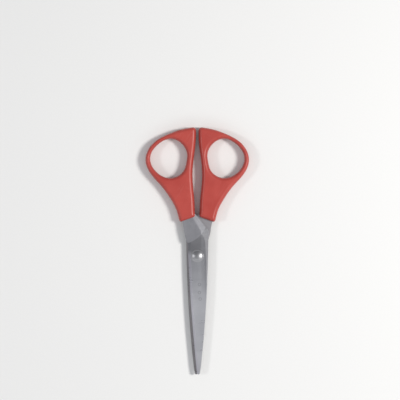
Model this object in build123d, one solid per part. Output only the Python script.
from build123d import *

import os
from math import atan2, cos, degrees, hypot, radians, sin, sqrt, tan

# Straight-edged scissors, nominal 6 1/2 inch: two identical riveted steel halves with moulded finger rings.
#
# Pivot frame, used while modelling: the pivot axis is Z, Y runs from the pivot to the finger rings, and the plane
# z = 0 is where the two blades meet. The front half lies above that plane with its ring on the -X side. The back
# half is the same stamping and moulding turned half a turn about Y. At the end every solid moves to the part's own
# frame, whose origin is the centre of the object's box on the surface it lies on.

# Driving dimensions, mm.
BLADE_STOCK = 1.8           # sheet thickness of each half
BLADE_GAP = 0.06            # running gap between the two inner faces
HANDLE_THICKNESS = 8.0
TIP_Y = -77.9               # where the cutting edge ends and the rounded tip starts
TIP_ROUND = 0.85            # how far the rounded tip stands past that

# Steel outline. Cutting edge and spine are long arcs, each given by its two ends and its middle.
HEEL = (-6.4, 8.7)
EDGE_MIDDLE = (-4.0, -35.0)
EDGE_END = (-0.25, TIP_Y)
SPINE_TIP = (1.65, TIP_Y)
SPINE_END = (2.3, -74.0)    # from here a short straight runs in to the tip
SPINE_MIDDLE = (5.6, -37.0)
SPINE_START = (7.2, 4.0)
SPINE_CORNER = (7.45, 16.6)
HEEL_NOTCH = 0.5            # step from the sharpened edge out to the shank
SHANK_SIDE = [(-9.0, 17.5), (-8.15, 13.4)]

# Tang, the narrower steel inside the handle.
SHOULDER_OUTER = (-10.6, 23.4)
SHOULDER_INNER = (-0.35, 26.75)
TANG_INNER = (-4.4, 31.0)
TANG_END = (-11.2, 47.0)
TANG_END_RADIUS = 2.6
TANG_OUTER = (-11.8, 29.0)
TANG_HOLE_RADIUS = 1.9
TANG_HOLES = [(-7.8, 33.0), (-10.1, 41.6)]

# Grinding on each outer face.
GRIND_CENTRE = (-11.9, 26.8)    # the ground area ends on an arc round this point
GRIND_RADIUS = 18.9
GRIND_SWEEP_START = -110.0
GRIND_SWEEP = 90.0
GRIND_RUNOUT = 6.5          # length of the concave run-in
GRIND_DEPTH = 0.32
TIP_STOCK = 0.95            # thickness left at the tip
FACET_LINE = ((-0.7, 21.6), (4.7, 12.5))
FACET_SLOPE = 6.0
RELIEF_Z = 1.3              # height of the spine edge where the face slopes down to it
RELIEF_SLOPE = 6.3
BEVEL_ANGLE = 38.0          # cutting bevel, from the inner face
EDGE_LAND = 0.12            # thickness left at the cutting edge
HOLLOW_RADIUS = 150.0       # hollow grinding on the inner face
HOLLOW_DEPTH = 0.08
HOLLOW_X = 0.8
HOLLOW_START_Y = -7.0
HOLLOW_END_Y = -73.0
OVERRUN = 10.0              # how far cutters run past the steel
WEDGE_OUTSIDE = 0.6         # the same for the wedges swept along edge and spine
BEVEL_SECTION = 4.0         # widths of those wedges
RELIEF_SECTION = 6.0

# Pivot.
SHANK_RADIUS = 1.95
PIVOT_HOLE_RADIUS = 2.0
SPOTFACE_RADIUS = 4.7
SPOTFACE_Z = 1.45
WASHER_RADIUS = 4.3
WASHER_THICKNESS = 0.45
WASHER_RIM = 0.15
WASHER_PLAY = 0.02          # under the head, so the front half turns; the tail washer is clamped tight
HEAD_RADIUS = 3.4
HEAD_HEIGHT = 0.9
TAIL_RADIUS = 2.9
TAIL_HEIGHT = 0.8

# Handle plan, as distance out from the centre line and y. Each spline has only the points its shape needs.
HANDLE_END_OUTER = (11.6, 22.4)
HANDLE_END_INNER = (1.1, 26.1)
OUTER_EDGE = [(13.4, 29.3), (17.6, 37.7), (23.7, 46.3), (30.4, 53.8), (34.4, 63.8), (31.6, 72.2), (25.1, 78.1)]
TOP_EDGE = [(14.8, 82.8), (3.1, 85.5)]
TOP_SLANT = 10.0            # fall of the top edge at its inner corner, degrees
TOP_CORNER_RADIUS = 1.9
INNER_EDGE = [(0.95, 78.0), (2.1, 67.2), (3.15, 57.0), (2.85, 46.5), (1.8, 33.9)]
RING_CENTRE = (19.2, 64.9)
# Ring hole, measured from its centre: fuller corners towards the centre line, rounder outside.
RING_HOLE = [(-12.4, 0), (-9.9, 8.6), (-2.5, 13.0), (6.9, 9.3), (12.2, 0), (8.2, -8.9), (-2.3, -13.1), (-9.9, -8.7)]
OUTER_ROUND = 1.2
HOLE_ROUND = 1.0
END_ROUND = 0.8

INNER_Z = BLADE_GAP / 2
OUTER_Z = INNER_Z + BLADE_STOCK
HEAD_SEAT_Z = SPOTFACE_Z + WASHER_PLAY + WASHER_THICKNESS
TAIL_SEAT_Z = -SPOTFACE_Z - WASHER_THICKNESS


def circle_through(a, b, c):
    """Centre and radius of the circle through three points of the plan."""
    ax, ay = a
    bx, by = b[0] - ax, b[1] - ay
    cx, cy = c[0] - ax, c[1] - ay
    d = 2 * (bx * cy - by * cx)
    ux = (cy * (bx * bx + by * by) - by * (cx * cx + cy * cy)) / d
    uy = (bx * (cx * cx + cy * cy) - cx * (bx * bx + by * by)) / d
    return (ax + ux, ay + uy), hypot(ux, uy)


def steel_outline():
    """Plan of one half: blade, shoulders and tang, as one closed face."""
    tip = ((EDGE_END[0] + SPINE_TIP[0]) / 2, TIP_Y - TIP_ROUND)
    notch_top = (HEEL[0] - HEEL_NOTCH, HEEL[1] + HEEL_NOTCH)
    end_left = (TANG_END[0] - TANG_END_RADIUS, TANG_END[1] - TANG_END_RADIUS)
    end_right = (TANG_END[0] + TANG_END_RADIUS, TANG_END[1] - TANG_END_RADIUS)
    with BuildSketch() as plan:
        with BuildLine():
            ThreePointArc(HEEL, EDGE_MIDDLE, EDGE_END)
            ThreePointArc(EDGE_END, tip, SPINE_TIP)
            Line(SPINE_TIP, SPINE_END)
            ThreePointArc(SPINE_END, SPINE_MIDDLE, SPINE_START)
            Polyline(SPINE_START, SPINE_CORNER, SHOULDER_INNER, TANG_INNER, end_right)
            ThreePointArc(end_right, TANG_END, end_left)
            Polyline(end_left, TANG_OUTER, SHOULDER_OUTER)
            Spline(SHOULDER_OUTER, *SHANK_SIDE, notch_top, tangents=((1, -1.2), (0.3, -1)))
            Line(notch_top, HEEL)
        make_face()
        with Locations(*TANG_HOLES):
            Circle(TANG_HOLE_RADIUS, mode=Mode.SUBTRACT)
        Circle(PIVOT_HOLE_RADIUS, mode=Mode.SUBTRACT)
    return plan.sketch


def face_grinding():
    """Material ground off the outer face: a concave run-in round an arc, then a very flat cone thinning to the tip."""
    tip_radius = hypot(GRIND_CENTRE[0], GRIND_CENTRE[1] - TIP_Y)
    flat_start = (GRIND_RADIUS + GRIND_RUNOUT, -GRIND_DEPTH)
    taper = (OUTER_Z - TIP_STOCK - GRIND_DEPTH) / (tip_radius - flat_start[0])
    end = tip_radius + OVERRUN
    end_depth = GRIND_DEPTH + taper * (end - flat_start[0])
    arc_start = (GRIND_RADIUS, 0)
    with BuildPart() as cut:
        with BuildSketch(Plane.XZ):
            with BuildLine():
                TangentArc(flat_start, arc_start, tangent=(-1, taper))
                Polyline(flat_start, (end, -end_depth), (end, OVERRUN), (GRIND_RADIUS, OVERRUN), arc_start)
            make_face()
        revolve(axis=Axis.Z, revolution_arc=GRIND_SWEEP)
    return Pos(*GRIND_CENTRE, OUTER_Z) * Rot(0, 0, GRIND_SWEEP_START) * cut.part


def spine_facet():
    """Wedge taken off the outer face beside the spine corner, sloping down away from the facet line."""
    (x0, y0), (x1, y1) = FACET_LINE
    along = Vector(x1 - x0, y1 - y0, 0).normalized()
    outward = Vector(-along.Y, along.X, 0)
    slope = radians(FACET_SLOPE)
    normal = outward * sin(slope) + Vector(0, 0, cos(slope))
    facet = Plane(origin=((x0 + x1) / 2, (y0 + y1) / 2, OUTER_Z), x_dir=along, z_dir=normal)
    length, width, height = 80, 30, 10
    return facet * Pos(0, width / 2, height / 2) * Box(length, width, height)


def swept_wedge(arc, first_y, last_y, low, slope, width):
    """Cutter that follows an arc of the outline, its underside low at the arc and rising inwards over the width."""
    centre, radius = circle_through(*arc)
    inwards = -1 if arc[1][0] > centre[0] else 1

    def bearing(y):
        rise = y - centre[1]
        return degrees(atan2(rise, -inwards * sqrt(radius**2 - rise**2)))

    climb = tan(radians(slope))
    top = low + width * climb
    with BuildPart() as cut:
        with BuildSketch(Plane.XZ):
            with BuildLine():
                Polyline(
                    (radius + WEDGE_OUTSIDE, low - WEDGE_OUTSIDE * climb),
                    (radius + WEDGE_OUTSIDE, top),
                    (radius - width, top),
                    close=True,
                )
            make_face()
        revolve(axis=Axis.Z, revolution_arc=(bearing(last_y) - bearing(first_y)) % 360)
    return Pos(*centre, 0) * Rot(0, 0, bearing(first_y)) * cut.part


def cutting_bevel():
    """Bevel along the cutting edge, leaving a thin land."""
    arc = (HEEL, EDGE_MIDDLE, EDGE_END)
    return swept_wedge(arc, HEEL[1], TIP_Y - OVERRUN, INNER_Z + EDGE_LAND, BEVEL_ANGLE, BEVEL_SECTION)


def spine_relief():
    """Gentle slope down to the spine, running out where the tapering face gets lower than it."""
    arc = (SPINE_START, SPINE_MIDDLE, SPINE_END)
    return swept_wedge(arc, TIP_Y - OVERRUN, SHOULDER_INNER[1], RELIEF_Z, RELIEF_SLOPE, RELIEF_SECTION)


def inner_hollow():
    """Long shallow hollow on the inner face, dying out towards the tip."""
    length = HOLLOW_START_Y - HOLLOW_END_Y
    tilt = degrees(atan2(HOLLOW_DEPTH, length))
    drum = Rot(90, 0, 0) * Pos(0, 0, length / 2) * Cylinder(HOLLOW_RADIUS, length)
    return Pos(HOLLOW_X, HOLLOW_START_Y, INNER_Z + HOLLOW_DEPTH - HOLLOW_RADIUS) * Rot(tilt, 0, 0) * drum


def steel_half():
    """Front half's steel, in the pivot frame."""
    body = Pos(0, 0, INNER_Z) * extrude(steel_outline(), BLADE_STOCK)
    body -= face_grinding()
    body -= spine_facet()
    body -= spine_relief()
    body -= cutting_bevel()
    body -= inner_hollow()
    body -= Pos(0, 0, SPOTFACE_Z + OVERRUN / 2) * Cylinder(SPOTFACE_RADIUS, OVERRUN)
    return body


def handle_outline():
    """Plan of the front half's moulding, ring hole included."""

    def left(points):
        return [(-x, y) for x, y in points]

    rise = (cos(radians(TOP_SLANT)), sin(radians(TOP_SLANT)))
    outer = left([HANDLE_END_OUTER, *OUTER_EDGE, *TOP_EDGE])
    corner_x = outer[-1][0] + TOP_CORNER_RADIUS * (1 + rise[1])
    corner_end = (corner_x, outer[-1][1] - TOP_CORNER_RADIUS * rise[0])
    inner = [corner_end, *left([*INNER_EDGE, HANDLE_END_INNER])]
    with BuildSketch() as plan:
        with BuildLine():
            Spline(*outer, tangents=((-0.3, 1), rise))
            TangentArc(outer[-1], corner_end, tangent=rise)
            Spline(*inner, tangents=((0, -1), (0.25, -1)))
            Line(inner[-1], outer[0])
        make_face()
        with BuildLine():
            Spline(*left([(RING_CENTRE[0] + x, RING_CENTRE[1] + y) for x, y in RING_HOLE]), periodic=True)
        make_face(mode=Mode.SUBTRACT)
    return plan.sketch


def handle_moulding(steel):
    """Front half's handle, moulded round the tang of the given steel."""
    body = extrude(handle_outline(), HANDLE_THICKNESS / 2, both=True)
    end_corners = [edge for edge in body.edges().filter_by(Axis.Z) if edge.center().Y < TANG_OUTER[1]]
    body = fillet(end_corners, END_ROUND)
    for side in (0, -1):
        rim = body.faces().filter_by(Axis.Z).sort_by(Axis.Z)[side]
        body = fillet(rim.outer_wire().edges(), OUTER_ROUND)
        rim = body.faces().filter_by(Axis.Z).sort_by(Axis.Z)[side]
        body = fillet(rim.inner_wires()[0].edges(), HOLE_ROUND)
    return body - steel


def dome(radius, height):
    """Rivet end: a cap of a sphere standing on z = 0, with the sphere's poles and seam outside the cap."""
    sphere_radius = (radius**2 + height**2) / (2 * height)
    cap = Pos(0, 0, height - sphere_radius) * Rot(90, 0, 0) * Sphere(sphere_radius)
    return cap & Pos(0, 0, height / 2) * Cylinder(radius, height)


def pivot_rivet():
    """Domed head on the front, shank through both halves and a smaller peened dome at the back."""
    shank = Pos(0, 0, (HEAD_SEAT_Z + TAIL_SEAT_Z) / 2) * Cylinder(SHANK_RADIUS, HEAD_SEAT_Z - TAIL_SEAT_Z)
    head = Pos(0, 0, HEAD_SEAT_Z) * dome(HEAD_RADIUS, HEAD_HEIGHT)
    tail = Pos(0, 0, TAIL_SEAT_Z) * half_turn(dome(TAIL_RADIUS, TAIL_HEIGHT))
    return shank + head + tail


def washer():
    """Washer standing on z = 0, its upper rim broken."""
    ring = Cylinder(WASHER_RADIUS, WASHER_THICKNESS) - Cylinder(PIVOT_HOLE_RADIUS, WASHER_THICKNESS)
    rim = ring.edges().group_by(Axis.Z)[-1].sort_by(SortBy.LENGTH)[-1]
    return Pos(0, 0, WASHER_THICKNESS / 2) * chamfer(rim, WASHER_RIM)


def half_turn(solid):
    """The back half's copy of a front solid."""
    return Rot(0, 180, 0) * solid


def build_pieces():
    steel = steel_half()
    handle = handle_moulding(steel)
    return {
        "front_blade": steel,
        "front_handle": handle,
        "back_blade": half_turn(steel),
        "back_handle": half_turn(handle),
        "pivot_rivet": pivot_rivet(),
        "head_washer": Pos(0, 0, SPOTFACE_Z + WASHER_PLAY) * washer(),
        "tail_washer": half_turn(Pos(0, 0, SPOTFACE_Z) * washer()),
    }


def main():
    pieces = build_pieces()
    boxes = [piece.bounding_box() for piece in pieces.values()]
    low = [min(tuple(box.min)[axis] for box in boxes) for axis in range(3)]
    high = [max(tuple(box.max)[axis] for box in boxes) for axis in range(3)]
    shift = Pos(-(low[0] + high[0]) / 2, -(low[1] + high[1]) / 2, -low[2])
    os.makedirs("parts", exist_ok=True)
    for name, piece in pieces.items():
        export_step(shift * piece.solid(), f"parts/{name}.step")
        print(name, "volume", round(piece.volume, 1), "solids", len(piece.solids()), "valid", piece.is_valid)
    print("size", [round(high[axis] - low[axis], 3) for axis in range(3)])
    print("pivot", [round(value, 4) for value in shift.position])


main()
